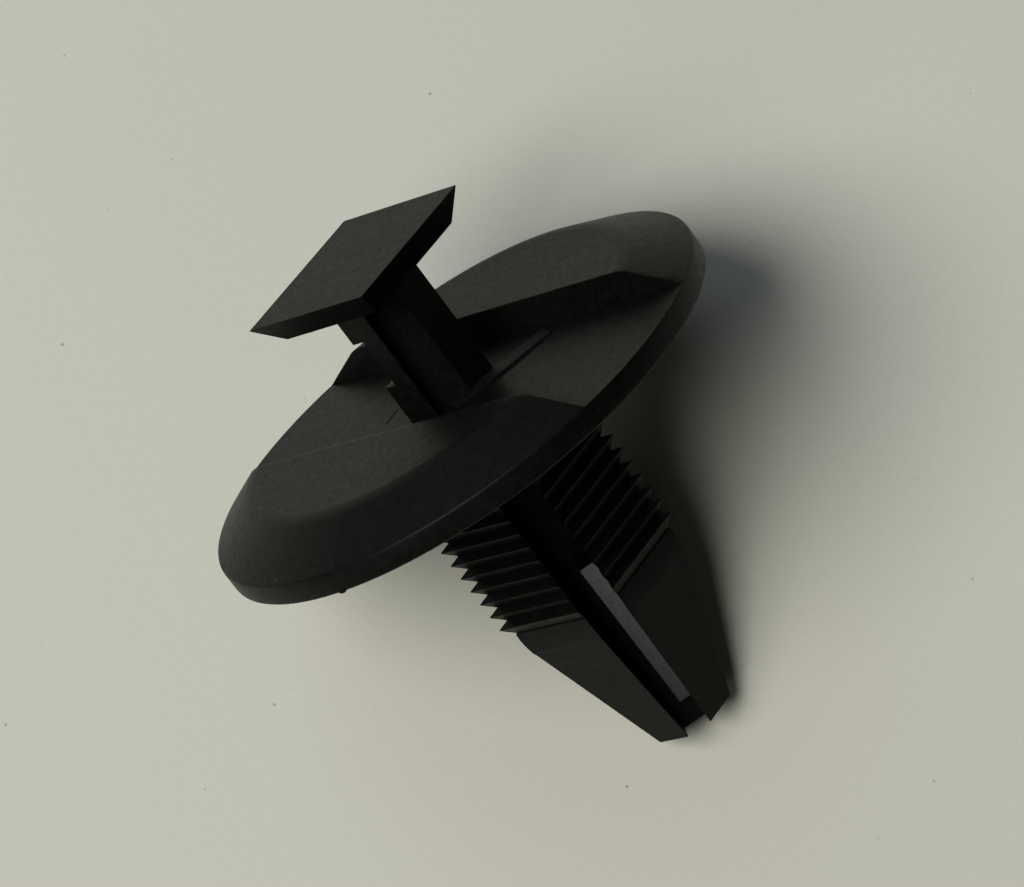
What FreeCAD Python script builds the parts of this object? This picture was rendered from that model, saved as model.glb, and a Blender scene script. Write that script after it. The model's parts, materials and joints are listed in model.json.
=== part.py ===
import FreeCAD, Part
import math
import os
import Sketcher

# One-piece moulded clip that holds a trim panel. A square head slides into a slot of the panel,
# a round flange with a channel across it bears on the sheet metal, and a square barbed shank
# is pushed into a square hole. The clip is drawn upright, with its axis on Z, the underside of
# the flange at height zero, the head above and the shank below. At the end it is laid down on
# the rim of the flange and the tips of the shank.

doc = FreeCAD.newDocument("RetainingClip")

# Driving dimensions, in millimetres
DIMENSIONS = (
    ("head_width", 8.0, "side of the square head, at its top edge"),
    ("head_thickness", 1.37, "height of the head plate"),
    ("head_bevel", 0.83, "how far the underside of the head stands in on each side"),
    ("neck_width", 3.2, "side of the square neck"),
    ("neck_height", 6.63, "from the channel floor to the underside of the head"),
    ("neck_web", 0.9, "wall left between the grooves of the neck"),
    ("neck_step", 1.1, "how far the half block of the neck stands out from its middle"),
    ("notch_depth", 0.7, "side of the notch in one corner of the neck"),
    ("notch_height", 2.5, "height of that notch"),
    ("notch_drop", 2.0, "from the underside of the head to the notch"),
    ("fin_reach", 5.3, "end of the fin on the channel floor, from the axis"),
    ("fin_height", 1.2, "height of the fin at the neck"),
    ("fin_end_height", 0.4, "height of the fin at its end"),
    ("fin_thickness", 1.0, "thickness of the fin"),
    ("flange_diameter", 26.2, "outside diameter of the flange"),
    ("rim_height", 1.12, "height of the flange at its rim and in the channel"),
    ("land_diameter", 20.7, "diameter of the flat lands on the flange"),
    ("land_height", 1.49, "height of the lands above the channel floor"),
    ("channel_width", 8.7, "width of the channel across the flange"),
    ("shank_width", 6.0, "side of the square shank, without its barbs"),
    ("shank_length", 18.6, "from the underside of the flange to the tips"),
    ("barbed_length", 10.2, "straight part of the shank, above its taper"),
    ("tip_width", 2.84, "side of the square that bounds the tips"),
    ("barb_start", 1.65, "from the underside of the flange to the first barb's edge"),
    ("barb_pitch", 0.785, "distance from barb to barb"),
    ("barb_count", 11, "number of barbs"),
    ("barb_reach", 0.4, "how far a barb stands out from the shank"),
    ("barb_drop", 0.12, "height of the steep flank of a barb"),
    ("barb_run", 0.63, "height of the sloping flank of a barb"),
    ("groove_width", 1.84, "width of the grooves in two opposite corners"),
    ("groove_tip_width", 1.22, "width of the same grooves at the tips"),
    ("web_thickness", 0.5, "wall left between the grooves of the shank"),
    ("block_start", 8.5, "from the underside of the flange to the half blocks"),
    ("block_end", 16.95, "from the underside of the flange to the bevel of the half blocks"),
    ("block_reach", 2.2, "how far a half block stands out at its start"),
    ("block_end_reach", 1.4, "how far a half block stands out at its bevel"),
)

sheet = doc.addObject("Spreadsheet::Sheet", "Sizes")
for row, (alias, value, meaning) in enumerate(DIMENSIONS, start=1):
    sheet.set("A%d" % row, meaning)
    sheet.set("B%d" % row, str(value))
    sheet.setAlias("B%d" % row, alias)
doc.recompute()

body = doc.addObject("PartDesign::Body", "Clip")
body.Label = "retaining_clip"

# The grooves lie in two opposite corners, so their planes are turned by this angle.
CORNER_ANGLE = 45.0


def origin_feature(role):
    """Axis or plane of the body's own origin."""
    for feature in body.Origin.OriginFeatures:
        if feature.Role == role:
            return feature
    raise ValueError(role)


def new_sketch(name, plane, turn_axis=(0, 0, 1), turn=0.0, height=None):
    """Sketch on an origin plane, turned in it or about its upright, and raised if a height is given."""
    sketch = body.newObject("Sketcher::SketchObject", name)
    sketch.AttachmentSupport = [(origin_feature(plane), "")]
    sketch.MapMode = "FlatFace"
    rotation = FreeCAD.Rotation(FreeCAD.Vector(*turn_axis), turn)
    sketch.AttachmentOffset = FreeCAD.Placement(FreeCAD.Vector(0, 0, 0), rotation)
    if height:
        sketch.setExpression("AttachmentOffset.Base.z", height)
    return sketch


def pin(sketch, kind, line, expression):
    """Bind one coordinate of a line's start point to an expression."""
    if expression == "0":
        axis = -2 if kind == "DistanceX" else -1
        sketch.addConstraint(Sketcher.Constraint("PointOnObject", line, 1, axis))
        return
    start = sketch.Geometry[line].StartPoint
    value = start.x if kind == "DistanceX" else start.y
    index = sketch.addConstraint(Sketcher.Constraint(kind, -1, 1, line, 1, value))
    sketch.setExpression("Constraints[%d]" % index, expression)


def outline(sketch, corners):
    """Closed outline, each corner given by two expressions."""
    count = len(corners)
    points = []
    for number in range(count):
        angle = 2 * math.pi * (number + 0.5) / count
        points.append(FreeCAD.Vector(math.cos(angle), math.sin(angle), 0))
    for number in range(count):
        sketch.addGeometry(Part.LineSegment(points[number], points[(number + 1) % count]), False)
    for number in range(count):
        joint = Sketcher.Constraint("Coincident", number, 2, (number + 1) % count, 1)
        sketch.addConstraint(joint)
    for number, (across, up) in enumerate(corners):
        pin(sketch, "DistanceX", number, across)
        pin(sketch, "DistanceY", number, up)


def rectangle(sketch, left, right, low, high):
    outline(sketch, ((left, low), (right, low), (right, high), (left, high)))


def square(name, width, height=None):
    """Sketch of a square centred on the axis, level with the flange."""
    sketch = new_sketch(name, "XY_Plane", height=height)
    half = "(%s) / 2" % width
    rectangle(sketch, "-" + half, half, "-" + half, half)
    return sketch


def pad(name, sketch, length, reverse=False, both_sides=False):
    feature = body.newObject("PartDesign::Pad", name)
    feature.Profile = sketch
    feature.setExpression("Length", length)
    feature.Reversed = reverse
    if both_sides:
        feature.SideType = "Symmetric"
    return feature


def pocket(name, sketch, length):
    feature = body.newObject("PartDesign::Pocket", name)
    feature.Profile = sketch
    feature.setExpression("Length", length)
    return feature


def loft(kind, name, sections):
    feature = body.newObject(kind, name)
    feature.Profile = sections[0]
    feature.Sections = sections[1:]
    feature.Ruled = True
    return feature


def half_turn_copy(name, features):
    """Repeat features on the opposite side of the axis."""
    pattern = body.newObject("PartDesign::PolarPattern", name)
    pattern.Originals = features
    pattern.Axis = (origin_feature("Z_Axis"), [""])
    pattern.Angle = 360
    pattern.Occurrences = 2
    body.Tip = pattern
    return pattern


# Flange: a turned disc with a low rim and a raised middle, cut across by a flat channel
flange_sketch = new_sketch("FlangeProfile", "XZ_Plane", turn_axis=(0, 1, 0), turn=CORNER_ANGLE)
outline(flange_sketch, (
    ("0", "0"),
    ("Sizes.flange_diameter / 2", "0"),
    ("Sizes.flange_diameter / 2", "Sizes.rim_height"),
    ("Sizes.land_diameter / 2", "Sizes.rim_height + Sizes.land_height"),
    ("0", "Sizes.rim_height + Sizes.land_height"),
))
flange = body.newObject("PartDesign::Revolution", "Flange")
flange.Profile = flange_sketch
flange.ReferenceAxis = (flange_sketch, ["V_Axis"])
flange.Angle = 360

channel_sketch = new_sketch("ChannelProfile", "YZ_Plane")
rectangle(
    channel_sketch,
    "-Sizes.channel_width / 2",
    "Sizes.channel_width / 2",
    "Sizes.rim_height",
    "Sizes.rim_height + 2 * Sizes.land_height",
)
channel = pocket("Channel", channel_sketch, "2 * Sizes.flange_diameter")
channel.SideType = "Symmetric"

# Neck: a square post with a stepped groove in two opposite corners
NECK_TOP = "Sizes.rim_height + Sizes.neck_height"
neck = pad("Neck", square("NeckSection", "Sizes.neck_width", "Sizes.rim_height"), "Sizes.neck_height")

neck_groove_sketch = new_sketch("NeckGrooveSection", "XY_Plane", turn=-CORNER_ANGLE, height=NECK_TOP)
outline(neck_groove_sketch, (
    ("Sizes.neck_web / 2", "-Sizes.groove_width / 2"),
    ("Sizes.neck_width", "-Sizes.groove_width / 2"),
    ("Sizes.neck_width", "Sizes.groove_width / 2"),
    ("Sizes.neck_step", "Sizes.groove_width / 2"),
    ("Sizes.neck_step", "0"),
    ("Sizes.neck_web / 2", "0"),
))
neck_groove = pocket("NeckGroove", neck_groove_sketch, "Sizes.neck_height")
half_turn_copy("NeckGrooves", [neck_groove])

notch_sketch = new_sketch("NotchSection", "XY_Plane", height=NECK_TOP + " - Sizes.notch_drop")
rectangle(
    notch_sketch,
    "-Sizes.neck_width",
    "Sizes.notch_depth - Sizes.neck_width / 2",
    "-Sizes.neck_width",
    "Sizes.notch_depth - Sizes.neck_width / 2",
)
pocket("Notch", notch_sketch, "Sizes.notch_height")

# Fin: a low sloping wall on the channel floor, from one corner of the neck outwards
fin_sketch = new_sketch("FinProfile", "XZ_Plane", turn_axis=(0, 1, 0), turn=CORNER_ANGLE)
outline(fin_sketch, (
    ("Sizes.neck_width / 2", "Sizes.rim_height"),
    ("Sizes.fin_reach", "Sizes.rim_height"),
    ("Sizes.fin_reach", "Sizes.rim_height + Sizes.fin_end_height"),
    ("Sizes.neck_width / 2", "Sizes.rim_height + Sizes.fin_height"),
))
pad("Fin", fin_sketch, "Sizes.fin_thickness", both_sides=True)

# Head: a square plate with a sharp top edge and a bevel all round below it
head_low = square("HeadUnderside", "Sizes.head_width - 2 * Sizes.head_bevel", NECK_TOP)
head_high = square("HeadTop", "Sizes.head_width", NECK_TOP + " + Sizes.head_thickness")
loft("PartDesign::AdditiveLoft", "Head", [head_low, head_high])

# Shank: a straight square part and a plain taper to the tips
pad("Shank", square("ShankSection", "Sizes.shank_width"), "Sizes.barbed_length", reverse=True)
taper_high = square("TaperStart", "Sizes.shank_width", "-Sizes.barbed_length")
taper_low = square("TaperEnd", "Sizes.tip_width", "-Sizes.shank_length")
loft("PartDesign::AdditiveLoft", "Taper", [taper_high, taper_low])

# Barbs: one ring with a steep flank towards the flange and a slope towards the tips, repeated
barb_high = square("BarbHigh", "Sizes.shank_width", "Sizes.barb_drop - Sizes.barb_start")
barb_edge = square("BarbEdge", "Sizes.shank_width + 2 * Sizes.barb_reach", "-Sizes.barb_start")
barb_low = square("BarbLow", "Sizes.shank_width", "-Sizes.barb_start - Sizes.barb_run")
barb = loft("PartDesign::AdditiveLoft", "Barb", [barb_high, barb_edge, barb_low])
barbs = body.newObject("PartDesign::LinearPattern", "Barbs")
barbs.Originals = [barb]
barbs.Direction = (origin_feature("Z_Axis"), [""])
barbs.Reversed = True
barbs.setExpression("Length", "Sizes.barb_pitch * (Sizes.barb_count - 1)")
barbs.setExpression("Occurrences", "Sizes.barb_count")
body.Tip = barbs

# Grooves: one in each of two opposite corners, narrowing down the taper, so that two legs stay


def groove_section(name, width, height=None):
    sketch = new_sketch(name, "XY_Plane", turn=-CORNER_ANGLE, height=height)
    half = "%s / 2" % width
    rectangle(sketch, "Sizes.web_thickness / 2", "Sizes.shank_width", "-" + half, half)
    return sketch


groove = pocket("Groove", groove_section("GrooveSection", "Sizes.groove_width"), "Sizes.barbed_length")
groove_high = groove_section("GrooveTaperStart", "Sizes.groove_width", "-Sizes.barbed_length")
groove_low = groove_section("GrooveTaperEnd", "Sizes.groove_tip_width", "-Sizes.shank_length")
groove_taper = loft("PartDesign::SubtractiveLoft", "GrooveTaper", [groove_high, groove_low])
half_turn_copy("Grooves", [groove, groove_taper])

# Half blocks: each leg carries one, which closes its half of a groove and ends in a bevel
block_sketch = new_sketch("BlockProfile", "XZ_Plane", turn_axis=(0, 1, 0), turn=-CORNER_ANGLE)
outline(block_sketch, (
    ("0", "-Sizes.block_start"),
    ("Sizes.block_reach", "-Sizes.block_start"),
    ("Sizes.block_end_reach", "-Sizes.block_end"),
    ("0", "-Sizes.shank_length"),
))
block = pad("Block", block_sketch, "Sizes.groove_width / 2", reverse=True)
half_turn_copy("Blocks", [block])

doc.recompute()

# The clip lies on the rim of its flange and on the inner corners of its two tips. Seen along its
# axis, the way down is the direction of one groove. The line through the points of rest slopes
# against the axis by the lean.
flange_radius = sheet.flange_diameter / 2
tip_corner = sheet.tip_width / math.sqrt(2) - sheet.groove_tip_width / 2
lean = math.atan2(sheet.shank_length, flange_radius - tip_corner)
turn_to_side = FreeCAD.Rotation(FreeCAD.Vector(0, 0, 1), CORNER_ANGLE - 180.0)
lay_down = FreeCAD.Rotation(FreeCAD.Vector(0, 1, 0), math.degrees(lean))
body.Placement = FreeCAD.Placement(FreeCAD.Vector(0, 0, 0), lay_down.multiply(turn_to_side))
doc.recompute()
box = body.Shape.optimalBoundingBox()
middle = FreeCAD.Vector(box.Center.x, box.Center.y, box.ZMin)
body.Placement = FreeCAD.Placement(-middle, body.Placement.Rotation)
doc.recompute()

for item in doc.Objects:
    if "Invalid" in item.State or "Error" in item.State:
        raise RuntimeError("%s is %s" % (item.Label, item.State))
if body.Shape.isNull() or not body.Shape.isValid() or len(body.Shape.Solids) != 1:
    raise RuntimeError("the clip is not one valid solid")

os.makedirs("parts", exist_ok=True)
body.Shape.exportStep("parts/%s.step" % body.Label)
print(body.Label, "volume", round(body.Shape.Volume, 2), "box", body.Shape.optimalBoundingBox())
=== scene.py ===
"""Models the looks of a one-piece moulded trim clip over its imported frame, and the stage that it lies on."""

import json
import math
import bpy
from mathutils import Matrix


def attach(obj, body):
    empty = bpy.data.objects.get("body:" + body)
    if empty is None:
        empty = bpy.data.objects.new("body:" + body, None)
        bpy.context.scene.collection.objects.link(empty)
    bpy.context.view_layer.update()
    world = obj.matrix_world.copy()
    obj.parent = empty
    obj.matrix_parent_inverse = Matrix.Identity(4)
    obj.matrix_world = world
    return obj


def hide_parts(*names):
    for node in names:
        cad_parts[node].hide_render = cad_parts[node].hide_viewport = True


bl_info = {
    "name": "Retaining Clip",
    "version": (1, 0, 0),
    "blender": (4, 5, 0),
    "location": "3D View > Sidebar > Clip",
    "description": "Models a moulded retaining clip with a square head, a round flange and a barbed shank",
    "category": "Add Mesh",
}

from contextlib import contextmanager
from types import SimpleNamespace

import bmesh
import bpy
from bpy.props import FloatProperty, FloatVectorProperty, IntProperty, PointerProperty
from mathutils import Matrix, Vector

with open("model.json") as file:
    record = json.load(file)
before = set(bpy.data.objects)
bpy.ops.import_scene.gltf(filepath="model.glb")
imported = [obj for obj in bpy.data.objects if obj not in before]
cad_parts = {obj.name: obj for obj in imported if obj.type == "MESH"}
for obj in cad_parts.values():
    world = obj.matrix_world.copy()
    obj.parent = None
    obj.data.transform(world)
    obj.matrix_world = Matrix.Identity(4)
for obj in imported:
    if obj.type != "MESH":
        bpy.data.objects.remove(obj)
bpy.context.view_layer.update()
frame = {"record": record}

# The clip is modelled upright on a bench where a unit is a millimetre, with the underside of its
# flange at height zero, and laid down at its real size when it is finished.
MM = 0.001
NODE = "retaining_clip"
MOUNTS = {mount["name"]: mount for mount in frame["record"]["mounts"]}
# The grooves of the neck and the shank run along a diagonal of their square.
CORNER = math.radians(45)
# How far a piece is sunk into the next one before they are joined, on the bench.
SUNK = 0.3
# Vertices nearer than this to a place count as being there, on the bench.
NEAR = 0.01
# Soft edges are rounded where they bend by more than the first angle, and square ones by the second.
SOFT_BEND = math.radians(20)
SQUARE_BEND = math.radians(40)
# Faces that meet at less than this are shaded as one surface.
SMOOTH_BEND = math.radians(35)
# A face looks a certain way if the cosine between the two is above this.
FACING = 0.9
# The fin leaves the neck at this angle from the channel's direction.
FIN_TURN = math.radians(59.7)
# The finishes of the nylon. The rubbed edge is partly a painted highlight, and the last finish is a painted
# highlight along the channel's edge. A face names its finish by its place in this list.
FINISHES = ("moulded nylon", "rubbed nylon edge with painted highlight", "polished nylon", "nylon edge with painted highlight")
MOULDED, WORN_AND_HIGHLIT, POLISHED, PAINTED_HIGHLIGHT = range(4)
# The range that holds most values of a noise.
NOISE_RANGE = (0.3, 0.7)
# The share of cells with no speck, and the radius of the speck that such a cell has instead.
BARE_CELLS = 0.4
NO_SPECK = 0.001
# The roughness of the nylon varies between these shares of its mean.
ROUGHNESS_SPREAD = (0.84, 1.2)
# Depth of the grain from the mould, in millimetres.
GRAIN_DEPTH = 0.02


def length(name, millimetres, description):
    """A size that the sidebar shows as a length."""
    return FloatProperty(
        name=name, description=description, default=millimetres * MM, min=0.0, precision=5, unit="LENGTH"
    )


def colour(name, red, green, blue, description):
    """A colour that the sidebar shows as a swatch."""
    return FloatVectorProperty(
        name=name, description=description, default=(red, green, blue), size=3, min=0.0, max=1.0, subtype="COLOR"
    )


class ClipSizes(bpy.types.PropertyGroup):
    """Sizes of the clip. A few follow the photograph more closely than its solid does."""

    head_width: length("Head width", 8.0, "Side of the square head at its top edge")
    head_thickness: length("Head thickness", 1.37, "Height of the head plate")
    head_excess: length(
        "Head excess", 0.25, "How much further the head reaches behind the neck than before it"
    )
    head_bevel: length("Head bevel", 0.83, "How far the underside of the head stands in")
    neck_width: length("Neck width", 3.2, "Side of the square neck")
    neck_height: length("Neck height", 6.63, "From the channel floor to the underside of the head")
    neck_web: length("Neck web", 0.9, "Wall left between the grooves of the neck")
    neck_step: length("Neck step", 1.1, "How far the half block of the neck stands out")
    notch_depth: length("Notch depth", 0.7, "Side of the notch in one corner of the neck")
    notch_height: length("Notch height", 2.5, "Height of the notch")
    notch_drop: length("Notch drop", 2.0, "From the underside of the head to the notch")
    fin_side: length("Fin side", 2.17, "From the axis to the outer side of the fin")
    fin_length: length("Fin length", 5.5, "Length of the fin from the corner of the neck")
    fin_end: length("Fin end", 5.0, "End of the fin, along it from the axis")
    fin_height: length("Fin height", 0.14, "Height of the fin on the channel floor")
    fin_thickness: length("Fin thickness", 1.1, "Thickness of the fin")
    fin_crevice: length("Fin crevice", 0.05, "Width and depth of the dark line at the foot of the fin")
    flange_diameter: length("Flange diameter", 26.2, "Outside diameter of the flange")
    rim_height: length("Rim height", 1.12, "Height of the flange at its rim and in the channel")
    land_diameter: length("Land diameter", 20.7, "Diameter of the flat lands on the flange")
    land_height: length("Land height", 1.49, "Height of the lands above the channel floor")
    land_rounding: length("Land rounding", 0.4, "Half the width of the rounding round the lands")
    rim_rounding: length("Rim rounding", 0.08, "Width of the rounding on the rim's upper edge")
    foot_rounding: length("Foot rounding", 0.14, "Width of the rounding on the rim's lower edge")
    channel_width: length("Channel width", 8.7, "Width of the channel across the flange")
    # The band along the channel's front edge is a painted highlight, a paler tone where light catches the edge.
    highlight_width: length("Highlight width", 0.2, "Width of the band painted as a highlight along the channel's edge")
    highlight_end: length("Highlight end", 2.0, "End of the band painted as a highlight, from the axis")
    shank_width: length("Shank width", 6.0, "Side of the square shank without its barbs")
    shank_length: length("Shank length", 18.6, "From the underside of the flange to the tips")
    barbed_length: length("Barbed length", 11.0, "Straight part of the shank above its taper")
    taper_step: length(
        "Taper step", 0.06, "How far the plain part of the shank stands out from the barbs' roots"
    )
    tip_width: length("Tip width", 2.84, "Side of the square that bounds the tips")
    barb_start: length("Barb start", 1.65, "From the underside of the flange to the first barb")
    barb_pitch: length("Barb pitch", 0.785, "Distance from barb to barb")
    barb_reach: length("Barb reach", 0.42, "How far a barb stands out from the shank")
    barb_drop: length("Barb drop", 0.21, "Height of the steep flank of a barb")
    barb_run: length("Barb run", 0.575, "Height of the sloping flank of a barb")
    groove_width: length("Groove width", 1.84, "Width of the grooves in two opposite corners")
    groove_tip_width: length("Groove tip width", 1.22, "Width of the same grooves at the tips")
    groove_straight: length(
        "Groove straight", 10.2, "From the underside of the flange to where the grooves narrow"
    )
    web_thickness: length("Web thickness", 0.5, "Wall left between the grooves of the shank")
    block_start: length("Block start", 8.5, "From the underside of the flange to the half blocks")
    block_end: length("Block end", 16.95, "From the underside of the flange to their ends")
    block_reach: length("Block reach", 2.2, "How far a half block stands out at its start")
    block_end_reach: length("Block end reach", 1.4, "How far a half block stands out at its end")
    edge_rounding: length("Edge rounding", 0.06, "Width of the rounding on moulded edges")
    barb_rounding: length("Barb rounding", 0.03, "Width of the rounding on the edges of the barbs")
    barb_end_rounding: length(
        "Barb end rounding", 0.09, "Width of the rounding where the barbs meet a groove"
    )
    taper_rounding: length(
        "Taper rounding", 0.5, "Half the width of the bend from the straight part to the taper"
    )
    barb_count: IntProperty(name="Barbs", description="Number of barbs", default=11, min=1)
    flange_sides: IntProperty(
        name="Flange sides", description="Sides of the round flange", default=192, min=24
    )


class ClipColours(bpy.types.PropertyGroup):
    """Colours of the clip and of the stage."""

    nylon: colour("Nylon", 0.0028, 0.0029, 0.0025, "Black of the moulded nylon")
    # Rounded edges get this paler tone, partly for wear and partly as a painted highlight.
    worn_and_highlight: colour("Worn edge and highlight", 0.005, 0.005, 0.0045, "Paler tone of rubbed edges, partly a painted highlight")
    # A highlight along the channel's edge is painted in this pale tone.
    painted_highlight: colour("Painted highlight edge", 0.019, 0.018, 0.0165, "Pale tone painted as a highlight along the channel's edge")
    paper: colour("Paper", 0.54, 0.535, 0.46, "Sheet that the clip lies on")


def bench_sizes():
    """The sizes as plain numbers on the bench, where a unit is a millimetre."""
    group = bpy.context.scene.clip_sizes
    values = {}
    for name in ClipSizes.__annotations__:
        value = getattr(group, name)
        values[name] = value if isinstance(value, int) else value / MM
    return SimpleNamespace(**values)


@contextmanager
def editing(piece):
    """Edit mode on one piece alone, with nothing selected."""
    bpy.ops.object.select_all(action="DESELECT")
    piece.select_set(True)
    bpy.context.view_layer.objects.active = piece
    bpy.ops.object.mode_set(mode="EDIT")
    bpy.ops.mesh.select_all(action="DESELECT")
    yield
    bpy.ops.object.mode_set(mode="OBJECT")


def pick(kind, test):
    """Selects the vertices, edges or faces of the piece in edit mode whose middle passes the test."""
    bpy.ops.mesh.select_mode(type=kind)
    bpy.ops.mesh.select_all(action="DESELECT")
    mesh = bmesh.from_edit_mesh(bpy.context.edit_object.data)
    if kind == "VERT":
        for vertex in mesh.verts:
            vertex.select_set(test(vertex.co))
    elif kind == "EDGE":
        for edge in mesh.edges:
            edge.select_set(all(test(vertex.co) for vertex in edge.verts))
    else:
        for face in mesh.faces:
            face.select_set(test(face.calc_center_median()))
    mesh.select_flush_mode()
    bmesh.update_edit_mesh(bpy.context.edit_object.data)


def pick_sharp(angle, test):
    """Selects the convex edges sharper than an angle whose middle passes the test."""
    bpy.ops.mesh.select_mode(type="EDGE")
    bpy.ops.mesh.select_all(action="DESELECT")
    mesh = bmesh.from_edit_mesh(bpy.context.edit_object.data)
    for edge in mesh.edges:
        if len(edge.link_faces) == 2 and edge.is_convex and edge.calc_face_angle() > angle:
            edge.select_set(test((edge.verts[0].co + edge.verts[1].co) / 2, edge))
    mesh.select_flush_mode()
    bmesh.update_edit_mesh(bpy.context.edit_object.data)


# By default the rounded faces get the paler edge finish, partly for wear and partly as a painted highlight.
def round_off(width, segments=2, finish=WORN_AND_HIGHLIT):
    """Bevels the selected edges and gives the new faces a finish."""
    bpy.ops.mesh.bevel(offset=width, segments=segments, profile=0.5, affect="EDGES")
    mesh = bmesh.from_edit_mesh(bpy.context.edit_object.data)
    for face in mesh.faces:
        if face.select:
            face.material_index = finish
    bmesh.update_edit_mesh(bpy.context.edit_object.data)


def give_finishes(piece):
    """Gives a piece the list of finishes. The materials are made here, and get their looks at the end."""
    if not piece.data.materials:
        for name in FINISHES:
            piece.data.materials.append(bpy.data.materials.get(name) or bpy.data.materials.new(name))


def polish(piece, direction):
    """Gives the polished finish to the faces of a piece that look a certain way."""
    for face in piece.data.polygons:
        if face.normal.dot(Vector(direction)) > FACING:
            face.material_index = POLISHED


def face_outwards(piece):
    """Turns every face of a closed piece outwards."""
    with editing(piece):
        bpy.ops.mesh.select_all(action="SELECT")
        bpy.ops.mesh.normals_make_consistent(inside=False)


def settle(piece):
    """Puts a piece's place, turn and scale into its mesh."""
    bpy.ops.object.select_all(action="DESELECT")
    piece.select_set(True)
    bpy.context.view_layer.objects.active = piece
    bpy.ops.object.transform_apply(location=True, rotation=True, scale=True)


def add_block(name, low, high, turn=0.0):
    """A block between two corners, then turned about the clip's axis."""
    low = Vector(low)
    high = Vector(high)
    bpy.ops.mesh.primitive_cube_add(size=1.0, location=(low + high) / 2, scale=high - low)
    block = bpy.context.object
    block.name = name
    settle(block)
    if turn:
        block.rotation_euler.z = turn
        settle(block)
    return block


def turn_piece(piece, angle):
    """Turns a piece about the clip's axis."""
    piece.rotation_euler.z = angle
    settle(piece)


def combine(piece, tool, operation):
    """Joins a tool piece to a piece, or cuts it away, and removes the tool."""
    give_finishes(piece)
    give_finishes(tool)
    modifier = piece.modifiers.new(operation, "BOOLEAN")
    modifier.operation = operation
    modifier.solver = "EXACT"
    modifier.object = tool
    bpy.context.view_layer.objects.active = piece
    bpy.ops.object.modifier_apply(modifier=modifier.name)
    bpy.data.objects.remove(tool, do_unlink=True)


def cut_both_ways(piece, make_tool):
    """Cuts a tool away in one corner, and again half a turn further."""
    for turn in (0.0, math.pi):
        tool = make_tool()
        if turn:
            turn_piece(tool, turn)
        combine(piece, tool, "DIFFERENCE")


def noise(nodes, links, place, scale, detail, roughness):
    """A noise texture on the object's own coordinates, with its scale in units per metre."""
    texture = nodes.new("ShaderNodeTexNoise")
    texture.inputs["Scale"].default_value = scale
    texture.inputs["Detail"].default_value = detail
    texture.inputs["Roughness"].default_value = roughness
    links.new(place.outputs["Object"], texture.inputs["Vector"])
    return texture


def spread(nodes, links, source, low, high, to_low, to_high):
    """Maps a noise's middle range to another range."""
    node = nodes.new("ShaderNodeMapRange")
    node.inputs["From Min"].default_value = low
    node.inputs["From Max"].default_value = high
    node.inputs["To Min"].default_value = to_low
    node.inputs["To Max"].default_value = to_high
    links.new(source, node.inputs["Value"])
    return node.outputs["Result"]


def specks(nodes, links, place, dimensions, scale, radius, plain, marked):
    """A value that is plain, but marked in small spots, of which each cell holds one of its own size."""
    cells = nodes.new("ShaderNodeTexVoronoi")
    cells.voronoi_dimensions = dimensions
    cells.inputs["Scale"].default_value = scale
    links.new(place.outputs["Object"], cells.inputs["Vector"])
    split = nodes.new("ShaderNodeSeparateColor")
    links.new(cells.outputs["Color"], split.inputs["Color"])
    reach = spread(nodes, links, split.outputs["Red"], BARE_CELLS, 1.0, NO_SPECK, radius)
    spot = nodes.new("ShaderNodeMath")
    spot.operation = "LESS_THAN"
    links.new(cells.outputs["Distance"], spot.inputs[0])
    links.new(reach, spot.inputs[1])
    return spread(nodes, links, spot.outputs["Value"], 0.0, 1.0, plain, marked)


def tinted(nodes, links, colour_value, shade, marks):
    """A colour made paler or darker by two strengths that vary over the surface."""
    strength = nodes.new("ShaderNodeMath")
    strength.operation = "MULTIPLY"
    links.new(shade, strength.inputs[0])
    links.new(marks, strength.inputs[1])
    node = nodes.new("ShaderNodeVectorMath")
    node.operation = "SCALE"
    node.inputs[0].default_value = colour_value
    links.new(strength.outputs["Value"], node.inputs["Scale"])
    return node.outputs["Vector"]


def nylon_material(name, colour_value, specular, roughness, grain):
    """Black nylon: mottled colour and gloss, fine grain from the mould and specks of dust."""
    material = bpy.data.materials[name]
    material.use_nodes = True
    nodes = material.node_tree.nodes
    links = material.node_tree.links
    shader = nodes["Principled BSDF"]
    place = nodes.new("ShaderNodeTexCoord")
    shader.inputs["IOR"].default_value = 1.5
    shader.inputs["Specular IOR Level"].default_value = specular

    clouds = noise(nodes, links, place, scale=2200.0, detail=5.0, roughness=0.7)
    shade = spread(nodes, links, clouds.outputs["Fac"], *NOISE_RANGE, to_low=0.4, to_high=1.8)
    dust = specks(nodes, links, place, "3D", scale=650.0, radius=0.06, plain=1.0, marked=8.0)
    links.new(tinted(nodes, links, colour_value, shade, dust), shader.inputs["Base Color"])

    rubbed = noise(nodes, links, place, scale=3200.0, detail=6.0, roughness=0.7)
    ends = [roughness * share for share in ROUGHNESS_SPREAD]
    gloss = spread(nodes, links, rubbed.outputs["Fac"], *NOISE_RANGE, *ends)
    links.new(gloss, shader.inputs["Roughness"])

    sparked = noise(nodes, links, place, scale=9000.0, detail=3.0, roughness=0.65)
    bump = nodes.new("ShaderNodeBump")
    bump.inputs["Strength"].default_value = grain
    bump.inputs["Distance"].default_value = GRAIN_DEPTH * MM
    links.new(sparked.outputs["Fac"], bump.inputs["Height"])
    links.new(bump.outputs["Normal"], shader.inputs["Normal"])


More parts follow.
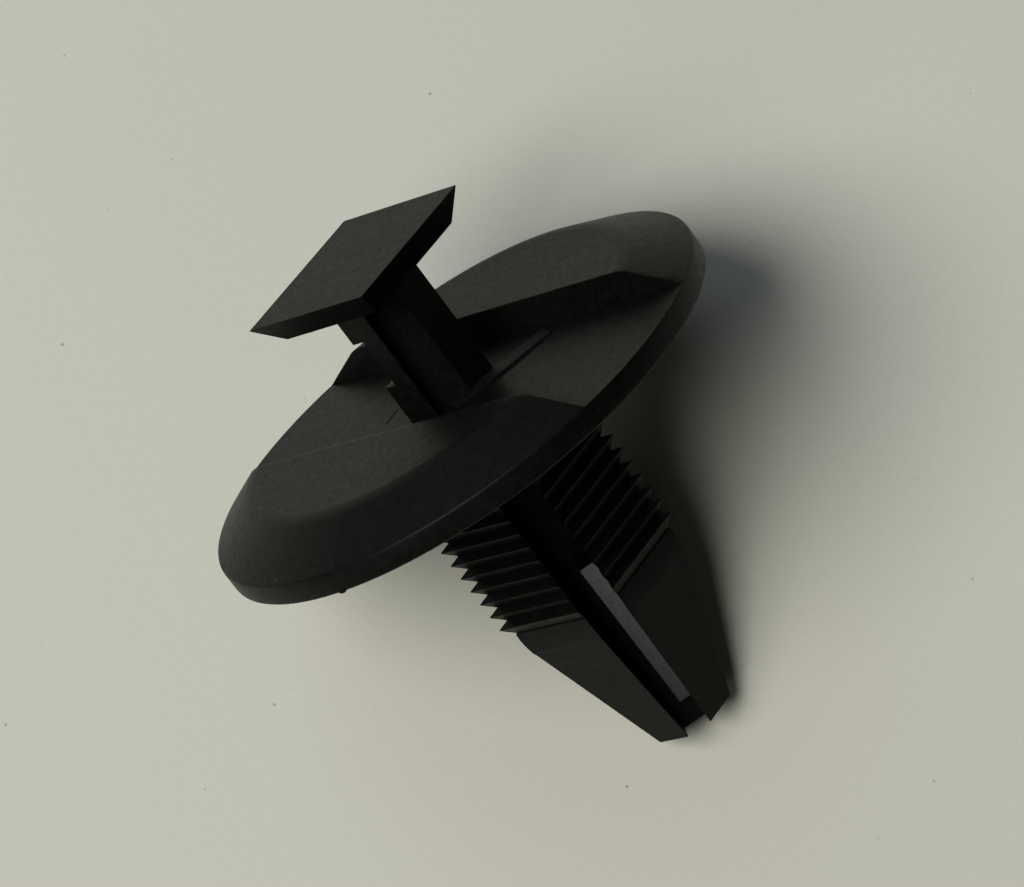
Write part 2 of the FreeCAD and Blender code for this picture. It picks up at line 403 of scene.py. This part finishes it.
class CLIP_OT_flange(bpy.types.Operator):
    """Model the round flange: a rim, rounded lands and the channel across it"""

    bl_idname = "clip.flange"
    bl_label = "Flange"

    # Where a scratch crosses the channel floor, on the bench, and the angle of the burr at the rim's foot
    SCRATCH_START = (-4.004, -0.925)
    SCRATCH_END = (-3.958, 0.085)
    SCRATCH_WIDTH = 0.13
    BURR_TURN = math.radians(-82)
    BURR_RADIUS = 0.11
    BURR_SHAPE = (1, 2, 0.8)

    def paint_highlight(self, flange, size, edge, level):
        """Paints a highlight: gives a paler finish to a narrow band of a land, along part of the channel's edge,
        where light catches it.
        """
        low = edge - size.highlight_width
        with editing(flange):
            mesh = bmesh.from_edit_mesh(flange.data)
            for place, across in (((0, low, 0), (0, 1, 0)), ((size.highlight_end, 0, 0), (1, 0, 0))):
                parts = [*mesh.verts, *mesh.edges, *mesh.faces]
                bmesh.ops.bisect_plane(mesh, geom=parts, plane_co=place, plane_no=across)
            for face in mesh.faces:
                middle = face.calc_center_median()
                if low < middle.y < edge and middle.x < size.highlight_end and middle.z > level - NEAR:
                    face.material_index = PAINTED_HIGHLIGHT
            bmesh.update_edit_mesh(flange.data)

    def scratch(self, flange, size):
        """Cuts the scratch as a shallow groove."""
        start = Vector(self.SCRATCH_START)
        end = Vector(self.SCRATCH_END)
        along = end - start
        level = size.rim_height
        half = self.SCRATCH_WIDTH / 2
        groove = add_block("scratch", (0, -half, level - half), (along.length, half, level + SUNK))
        groove.rotation_euler.z = math.atan2(along.y, along.x)
        groove.location = (*start, 0)
        settle(groove)
        combine(flange, groove, "DIFFERENCE")

    def burr(self, flange, size):
        """Adds the small burr at the foot of the rim."""
        middle = Vector((size.flange_diameter / 2, 0, self.BURR_RADIUS / 2))
        bpy.ops.mesh.primitive_ico_sphere_add(
            subdivisions=2, radius=self.BURR_RADIUS, location=middle, scale=self.BURR_SHAPE
        )
        burr = bpy.context.object
        burr.name = "burr"
        settle(burr)
        turn_piece(burr, self.BURR_TURN)
        combine(flange, burr, "UNION")

    def execute(self, context):
        size = bench_sizes()
        radius = size.flange_diameter / 2
        land_level = size.rim_height + size.land_height
        bpy.ops.mesh.primitive_circle_add(vertices=size.flange_sides, radius=radius, fill_type="NGON")
        flange = context.object
        flange.name = "flange"
        with editing(flange):
            bpy.ops.mesh.select_all(action="SELECT")
            bpy.ops.mesh.extrude_region_move(TRANSFORM_OT_translate={"value": (0, 0, size.rim_height)})
            bpy.ops.mesh.extrude_region_move(TRANSFORM_OT_translate={"value": (0, 0, size.land_height)})
            shrink = size.land_diameter / size.flange_diameter
            bpy.ops.transform.resize(value=(shrink, shrink, 1))
            pick("EDGE", lambda place: abs(place.z - land_level) < NEAR)
            bpy.ops.mesh.bevel(offset=size.land_rounding, segments=8, profile=0.5, affect="EDGES")
            pick("EDGE", lambda place: abs(place.z - size.rim_height) < NEAR)
            round_off(size.rim_rounding, 3, MOULDED)
            pick("EDGE", lambda place: abs(place.z) < NEAR)
            round_off(size.foot_rounding, 3, MOULDED)
        face_outwards(flange)

        half = size.channel_width / 2
        far_corner = (radius * 2, half, land_level * 2)
        channel = add_block("channel", (-radius * 2, -half, size.rim_height), far_corner)
        combine(flange, channel, "DIFFERENCE")
        with editing(flange):
            pick_sharp(
                SOFT_BEND,
                lambda middle, edge: abs(abs(middle.y) - half) < NEAR and middle.z > size.rim_height + NEAR,
            )
            round_off(size.edge_rounding, 2, MOULDED)
        # A painted highlight along the left part of the channel's front edge.
        self.paint_highlight(flange, size, -half, land_level)
        self.scratch(flange, size)
        self.burr(flange, size)
        return {"FINISHED"}


class CLIP_OT_neck(bpy.types.Operator):
    """Model the square neck with its stepped grooves and notch, and the fin at its foot"""

    bl_idname = "clip.neck"
    bl_label = "Neck and Fin"

    def execute(self, context):
        size = bench_sizes()
        half = size.neck_width / 2
        top = size.rim_height + size.neck_height
        neck = add_block("neck", (-half, -half, size.rim_height - SUNK), (half, half, top + SUNK))
        wide = size.groove_width / 2
        reach = size.neck_width
        low = size.rim_height - 2 * SUNK
        high = top + 2 * SUNK
        # The two cuts of a groove overlap by this, so that no skin is left between them.
        overlap = wide / 1e3

        def deep_side():
            return add_block("groove", (size.neck_web / 2, -wide, low), (reach, overlap, high), -CORNER)

        def shallow_side():
            return add_block("groove", (size.neck_step, -wide / 2, low), (reach, wide, high), -CORNER)

        cut_both_ways(neck, deep_side)
        cut_both_ways(neck, shallow_side)
        notch_top = top - size.notch_drop
        inner = size.notch_depth - half
        notch = add_block("notch", (-reach, -reach, notch_top - size.notch_height), (inner, inner, notch_top))
        combine(neck, notch, "DIFFERENCE")
        with editing(neck):
            pick_sharp(SQUARE_BEND, lambda middle, edge: True)
            round_off(size.edge_rounding, 2, MOULDED)

        start = size.fin_end - size.fin_length
        level = size.rim_height
        fin = add_block(
            "fin",
            (start, -size.fin_side, level - SUNK),
            (size.fin_end, size.fin_thickness - size.fin_side, level + size.fin_height),
        )
        with editing(fin):
            pick_sharp(SQUARE_BEND, lambda middle, edge: middle.z > level)
            round_off(size.edge_rounding / 2)
        turn_piece(fin, FIN_TURN)
        crevice = add_block(
            "crevice",
            (start, -size.fin_side - size.fin_crevice, level - size.fin_crevice),
            (size.fin_end, SUNK - size.fin_side, level + SUNK),
            FIN_TURN,
        )
        combine(bpy.data.objects["flange"], crevice, "DIFFERENCE")
        return {"FINISHED"}


class CLIP_OT_head(bpy.types.Operator):
    """Model the square head with its sharp top edge and the bevel below it"""

    bl_idname = "clip.head"
    bl_label = "Head"

    def execute(self, context):
        size = bench_sizes()
        half = size.head_width / 2
        low = size.rim_height + size.neck_height
        far_corner = (half, half + size.head_excess, low + size.head_thickness)
        head = add_block("head", (-half, -half, low), far_corner)
        shrink = 1 - size.head_bevel / half
        with editing(head):
            pick("FACE", lambda place: abs(place.z - low) < NEAR)
            bpy.ops.transform.resize(value=(shrink, shrink, 1))
            pick_sharp(SOFT_BEND, lambda middle, edge: True)
            round_off(size.edge_rounding, 2, MOULDED)
        return {"FINISHED"}


class CLIP_OT_shank(bpy.types.Operator):
    """Model the barbed shank, its taper, its grooves and the half blocks in them"""

    bl_idname = "clip.shank"
    bl_label = "Shank"

    # How far a groove's cutter runs past the tips, on the bench
    PAST_TIPS = 1.0

    def extrude_down(self, drop, scale=1.0):
        """Draws the selected faces down, and widens or narrows them."""
        bpy.ops.mesh.extrude_region_move(TRANSFORM_OT_translate={"value": (0, 0, -drop)})
        if scale != 1.0:
            bpy.ops.transform.resize(value=(scale, scale, 1))

    def barbs_end(self, size):
        """Where the last barb ends, below the flange."""
        return size.barb_start + size.barb_pitch * (size.barb_count - 1) + size.barb_run

    def barbed_body(self, size):
        """The shank before its grooves are cut, drawn down from a square."""
        bpy.ops.mesh.primitive_plane_add(size=size.shank_width, location=(0, 0, SUNK))
        body = bpy.context.object
        body.name = "shank"
        settle(body)
        spread_out = (size.shank_width + 2 * size.barb_reach) / size.shank_width
        gap = size.barb_pitch - size.barb_drop - size.barb_run
        with editing(body):
            bpy.ops.mesh.select_all(action="SELECT")
            self.extrude_down(SUNK + size.barb_start - size.barb_drop)
            for number in range(size.barb_count):
                if number:
                    self.extrude_down(gap)
                self.extrude_down(size.barb_drop, spread_out)
                self.extrude_down(size.barb_run, 1 / spread_out)
            plain_width = size.shank_width + 2 * size.taper_step
            self.extrude_down(size.taper_step, plain_width / size.shank_width)
            self.extrude_down(size.barbed_length - size.taper_step - self.barbs_end(size))
            self.extrude_down(size.shank_length - size.barbed_length, size.tip_width / plain_width)
            pick("EDGE", lambda place: abs(place.z + size.barbed_length) < NEAR)
            round_off(size.taper_rounding, 5, MOULDED)
        face_outwards(body)
        return body

    def groove_tool(self, size):
        """A cutter for one groove, which narrows down the taper and runs past the tips."""
        taper = size.shank_length - size.groove_straight
        depth = taper + self.PAST_TIPS
        narrow = (size.groove_width - size.groove_tip_width) * depth / taper
        wide = size.groove_width / 2
        low = (size.web_thickness / 2, -wide, -size.groove_straight)
        tool = add_block("groove", low, (size.shank_width, wide, 0))
        with editing(tool):
            pick("FACE", lambda place: abs(place.z + size.groove_straight) < NEAR)
            self.extrude_down(depth)
            bpy.ops.transform.resize(value=(1, 1 - narrow / size.groove_width, 1))
        turn_piece(tool, -CORNER)
        return tool

    def half_block(self, size):
        """One half block, whose outer side slopes in to its end."""
        wide = size.groove_width / 2
        high = (size.block_reach, wide + SUNK, -size.block_start)
        block = add_block("half_block", (0, 0, -size.block_end), high)
        slope = size.block_reach - size.block_end_reach
        with editing(block):
            pick("VERT", lambda place: place.x > NEAR and abs(place.z + size.block_end) < NEAR)
            bpy.ops.transform.translate(value=(-slope, 0, 0))
            pick("VERT", lambda place: place.y > NEAR and abs(place.z + size.block_end) < NEAR)
            bpy.ops.transform.translate(value=(0, -SUNK, 0))
            pick_sharp(SOFT_BEND, lambda middle, edge: middle.x > NEAR and middle.y < wide)
            round_off(size.edge_rounding)
        polish(block, (1, 0, 0))
        turn_piece(block, -CORNER)
        return block

    def execute(self, context):
        size = bench_sizes()
        shank = self.barbed_body(size)
        cut_both_ways(shank, lambda: self.groove_tool(size))
        barb_half = size.shank_width / 2 + size.barb_reach

        def barb_edge(middle, edge):
            along = abs(edge.verts[0].co.z - edge.verts[1].co.z) < NEAR
            return along and max(abs(middle.x), abs(middle.y)) > barb_half - NEAR

        def barb_end(middle, edge):
            across = abs(middle.x + middle.y) / math.sqrt(2)
            return abs(across - size.groove_width / 2) < NEAR and middle.z > -self.barbs_end(size) - NEAR

        def leg_edge(middle, edge):
            return middle.z < -size.barbed_length - size.taper_rounding

        with editing(shank):
            pick_sharp(SOFT_BEND, barb_end)
            round_off(size.barb_end_rounding, 2, MOULDED)
            pick_sharp(SOFT_BEND, barb_edge)
            round_off(size.barb_rounding)
            pick_sharp(SQUARE_BEND, leg_edge)
            round_off(size.edge_rounding)
        for turn in (0.0, math.pi):
            block = self.half_block(size)
            if turn:
                turn_piece(block, turn)
            combine(shank, block, "UNION")
        return {"FINISHED"}


class CLIP_OT_moulding(bpy.types.Operator):
    """Join the pieces into one moulding, lay it down at its real size and give it its finish"""

    bl_idname = "clip.moulding"
    bl_label = "Moulding"

    def execute(self, context):
        colours = context.scene.clip_colours
        clip = bpy.data.objects["flange"]
        for name in ("shank", "neck", "fin", "head"):
            combine(clip, bpy.data.objects[name], "UNION")
        clip.name = "moulded_clip"
        axis = -Vector(MOUNTS["shank"]["axis"])
        along = Vector(MOUNTS["neck"]["axis"])
        turn = Matrix((along, axis.cross(along), axis)).transposed().to_4x4()
        clip.matrix_world = Matrix.Translation(MOUNTS["shank"]["pos_m"]) @ turn @ Matrix.Scale(MM, 4)
        settle(clip)
        bpy.ops.object.shade_smooth_by_angle(angle=SMOOTH_BEND)
        weights = clip.modifiers.new("Weighted Normal", "WEIGHTED_NORMAL")
        weights.keep_sharp = True
        bpy.ops.object.modifier_apply(modifier=weights.name)

        # Each finish's colour, specular level, roughness and strength of grain
        for finish in (
            (FINISHES[MOULDED], colours.nylon, 0.09, 0.42, 0.5),
            # The rubbed edge is paler, partly for wear and partly as a painted highlight.
            (FINISHES[WORN_AND_HIGHLIT], colours.worn_and_highlight, 0.09, 0.5, 0.3),
            (FINISHES[POLISHED], colours.nylon, 0.5, 0.2, 0.1),
            # The last finish paints a highlight along the channel's edge.
            (FINISHES[PAINTED_HIGHLIGHT], colours.painted_highlight, 0.12, 0.5, 0.5),
        ):
            nylon_material(*finish)
        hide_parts(NODE)
        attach(clip, "root")
        return {"FINISHED"}


class CLIP_OT_stage(bpy.types.Operator):
    """Lay out the paper, the lamps, the camera and the room"""

    bl_idname = "clip.stage"
    bl_label = "Stage"

    # Where the camera stands, in millimetres, how it is turned, in degrees, and its lens
    CAMERA_PLACE = (-58.38, -27.19, 260.16)
    CAMERA_TURN = (7.774, 12.300, -123.369)
    CAMERA_LENS = 200.0
    # Each lamp's azimuth and elevation from the clip, in degrees, its width in metres, its power in
    # watts and its colour. A high window gives most of the light.
    LAMPS = (
        ("window", 78.0, 67.0, 0.45, 3.55, (1.0, 1.0, 0.98)),
        ("low_window", 118.0, 30.0, 0.2, 0.26, (1.0, 0.96, 0.88)),
        ("sky", -5.0, 52.0, 0.35, 0.52, (0.72, 0.83, 1.0)),
        ("far_window", 174.0, 31.0, 0.12, 0.085, (1.0, 0.99, 0.97)),
        ("near_wall", 10.0, 16.0, 0.3, 0.13, (1.0, 1.0, 0.94)),
    )
    LAMP_DISTANCE = 0.6
    ROOM_LIGHT = 0.003
    BACKDROP_TONE = 0.75
    ROOM_COLOUR = (1.0, 0.99, 0.95, 1.0)

    def paper(self, colour_value):
        """The sheet of paper, with faint fibres and a few specks."""
        bpy.ops.mesh.primitive_plane_add(size=2.0)
        paper = bpy.context.object
        paper.name = "paper"
        material = bpy.data.materials.new("matt paper")
        material.use_nodes = True
        nodes = material.node_tree.nodes
        links = material.node_tree.links
        shader = nodes["Principled BSDF"]
        shader.inputs["Roughness"].default_value = 0.9
        shader.inputs["Specular IOR Level"].default_value = 0.2
        place = nodes.new("ShaderNodeTexCoord")
        fibres = noise(nodes, links, place, scale=3500.0, detail=4.0, roughness=0.7)
        shade = spread(nodes, links, fibres.outputs["Fac"], *NOISE_RANGE, to_low=0.975, to_high=1.025)
        marks = specks(nodes, links, place, "2D", scale=150.0, radius=0.013, plain=1.0, marked=0.62)
        links.new(tinted(nodes, links, colour_value, shade, marks), shader.inputs["Base Color"])
        paper.data.materials.append(material)

    def lamp(self, name, azimuth, elevation, width, power, colour_value):
        """A round lamp that faces the clip."""
        upright = math.cos(math.radians(elevation))
        direction = Vector(
            (
                upright * math.cos(math.radians(azimuth)),
                upright * math.sin(math.radians(azimuth)),
                math.sin(math.radians(elevation)),
            )
        )
        bpy.ops.object.light_add(type="AREA", location=direction * self.LAMP_DISTANCE)
        lamp = bpy.context.object
        lamp.name = name
        lamp.rotation_euler = direction.to_track_quat("Z", "Y").to_euler()
        lamp.data.shape = "DISK"
        lamp.data.size = width
        lamp.data.energy = power
        lamp.data.color = colour_value

    def camera(self):
        """The camera of the photograph, as it was fitted to measured points."""
        turn = [math.radians(angle) for angle in self.CAMERA_TURN]
        bpy.ops.object.camera_add(location=Vector(self.CAMERA_PLACE) * MM, rotation=turn)
        camera = bpy.context.object
        camera.name = "camera"
        camera.data.lens = self.CAMERA_LENS
        camera.data.clip_start = 0.01
        bpy.context.scene.camera = camera

    def room(self, scene):
        """A faint even light, and a pale backdrop that only the camera sees."""
        world = bpy.data.worlds.new("room")
        world.use_nodes = True
        nodes = world.node_tree.nodes
        links = world.node_tree.links
        rays = nodes.new("ShaderNodeLightPath")
        strength = nodes.new("ShaderNodeMapRange")
        strength.inputs["To Min"].default_value = self.ROOM_LIGHT
        strength.inputs["To Max"].default_value = self.BACKDROP_TONE
        links.new(rays.outputs["Is Camera Ray"], strength.inputs["Value"])
        links.new(strength.outputs["Result"], nodes["Background"].inputs["Strength"])
        nodes["Background"].inputs["Color"].default_value = self.ROOM_COLOUR
        scene.world = world

    def execute(self, context):
        scene = context.scene
        self.paper(scene.clip_colours.paper)
        for lamp in self.LAMPS:
            self.lamp(*lamp)
        self.camera()
        self.room(scene)
        scene.view_settings.view_transform = "Standard"
        return {"FINISHED"}


class CLIP_PT_sidebar(bpy.types.Panel):
    """Buttons for the clip's pieces, with its sizes and colours"""

    bl_idname = "CLIP_PT_sidebar"
    bl_label = "Retaining Clip"
    bl_space_type = "VIEW_3D"
    bl_region_type = "UI"
    bl_category = "Clip"

    def draw(self, context):
        layout = self.layout
        for operator in OPERATORS:
            layout.operator(operator.bl_idname)
        for group in (context.scene.clip_sizes, context.scene.clip_colours):
            box = layout.box()
            for name in type(group).__annotations__:
                box.prop(group, name)


OPERATORS = (
    CLIP_OT_flange,
    CLIP_OT_neck,
    CLIP_OT_head,
    CLIP_OT_shank,
    CLIP_OT_moulding,
    CLIP_OT_stage,
)
CLASSES = (ClipSizes, ClipColours, *OPERATORS, CLIP_PT_sidebar)


def register():
    for item in CLASSES:
        bpy.utils.register_class(item)
    bpy.types.Scene.clip_sizes = PointerProperty(type=ClipSizes)
    bpy.types.Scene.clip_colours = PointerProperty(type=ClipColours)


def unregister():
    del bpy.types.Scene.clip_colours
    del bpy.types.Scene.clip_sizes
    for item in reversed(CLASSES):
        bpy.utils.unregister_class(item)


def main():
    register()
    bpy.ops.clip.flange()
    bpy.ops.clip.neck()
    bpy.ops.clip.head()
    bpy.ops.clip.shank()
    bpy.ops.clip.moulding()
    bpy.ops.clip.stage()


if __name__ == "__main__":
    main()
